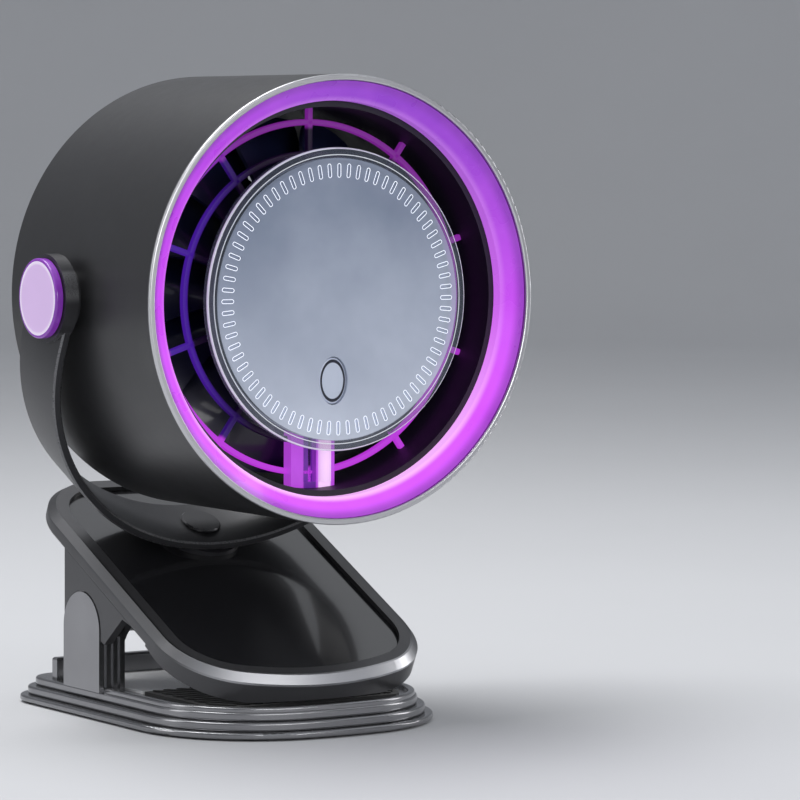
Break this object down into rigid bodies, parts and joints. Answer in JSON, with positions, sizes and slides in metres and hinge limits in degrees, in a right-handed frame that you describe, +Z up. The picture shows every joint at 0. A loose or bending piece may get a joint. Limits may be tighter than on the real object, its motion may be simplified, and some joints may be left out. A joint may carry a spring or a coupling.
{
  "type": "clip-on desk fan",
  "caption": "Drum-shaped desk fan on a swivelling, tilting yoke above a sprung clip base, with a light ring and a round control panel.",
  "frame": {"origin": "on the table, under the middle of the base", "axes": "+Z up, -Y the way the fan blows, +X to the right seen from behind the fan looking the way it blows reversed, that is to the viewer's right when facing the fan's front"},
  "size_m": [0.1696, 0.1414, 0.218],
  "materials": {
    "base_satin": "satin metallic grey",
    "battery_foil": "foil",
    "black_plastic": "fine texture",
    "board_green": "solder mask",
    "bronze": "sintered",
    "cap_lilac": "gloss",
    "copper_core": "wound",
    "drum_satin": "satin dark grey",
    "fan_blue": "gloss dark blue",
    "frosted_panel": "frosted",
    "gloss_black": "piano-black gloss",
    "jaw_satin": "satin metallic grey",
    "knob_purple": "gloss",
    "light_diffuser": "milky diffuser",
    "rubber_black": "ribbed",
    "spring_steel": "bright wire",
    "steel": "plain",
    "tick_white": "milky",
    "trim_silver": "bright turned edge",
    "yoke_metal": "satin grey",
    "zinc_screw": "zinc plated"
  },
  "bodies": {
    "base": {"lower_jaw": "base_satin", "base_cover": "black_plastic", "base_feet": "rubber_black", "base_screws": "zinc_screw", "battery_pack": "battery_foil", "charge_board": "board_green", "usb_socket": "steel", "tray_plate": "steel", "lower_pad": "rubber_black", "hinge_pin": "steel", "torsion_spring": "spring_steel"},
    "clip": {"upper_jaw": "jaw_satin", "jaw_trim": "trim_silver", "jaw_panel": "gloss_black", "jaw_cover": "black_plastic", "jaw_screws": "zinc_screw", "upper_pad": "rubber_black", "swivel_bush": "bronze"},
    "swivel_yoke": {"yoke": "yoke_metal", "swivel_post": "steel", "swivel_disc": "black_plastic", "swivel_washer": "spring_steel", "swivel_nut": "zinc_screw", "knob_right": "knob_purple", "knob_cap_right": "cap_lilac", "knob_left": "knob_purple", "knob_cap_left": "cap_lilac", "pivot_screws": "zinc_screw"},
    "head": {"head_shell": "drum_satin", "front_rim": "trim_silver", "light_ring": "light_diffuser", "light_board": "board_green", "duct_liner": "black_plastic", "front_grille": "black_plastic", "wire_duct": "black_plastic", "panel_stem": "black_plastic", "panel_housing": "black_plastic", "control_panel": "frosted_panel", "tick_marks": "tick_white", "control_board": "board_green", "motor_mount": "black_plastic", "motor_stator": "copper_core", "rear_grille": "black_plastic", "head_screws": "zinc_screw", "pivot_bushes": "bronze"},
    "fan": {"impeller": "fan_blue", "motor_rotor": "steel", "motor_shaft": "steel"},
    "button": {"power_button": "frosted_panel"}
  },
  "joints": [
    {"name": "clip_open", "type": "hinge", "parent": "base", "child": "clip", "pos_m": [0, 0.0213, 0.0296], "axis": [-1, 0, 0], "range_deg": [0, 30], "stiffness_Nm_per_rad": 1, "springref_deg": -40.11},
    {"name": "head_swivel", "type": "hinge", "parent": "clip", "child": "swivel_yoke", "pos_m": [0, 0.02795, 0.06013], "axis": [0, -0.4344, 0.9007], "range_deg": [-170, 170]},
    {"name": "head_tilt", "type": "hinge", "parent": "swivel_yoke", "child": "head", "pos_m": [0, -0.0125, 0.144], "axis": [-1, 0, 0], "range_deg": [-45, 20]},
    {"name": "fan_spin", "type": "hinge", "parent": "head", "child": "fan", "pos_m": [0, -0.0125, 0.144], "axis": [0, -1, 0], "continuous": true},
    {"name": "button_press", "type": "slide", "parent": "head", "child": "button", "axis": [0, 1, 0], "range_m": [0, 0.0008], "stiffness_N_per_m": 800, "springref_m": -0.0005}
  ]
}
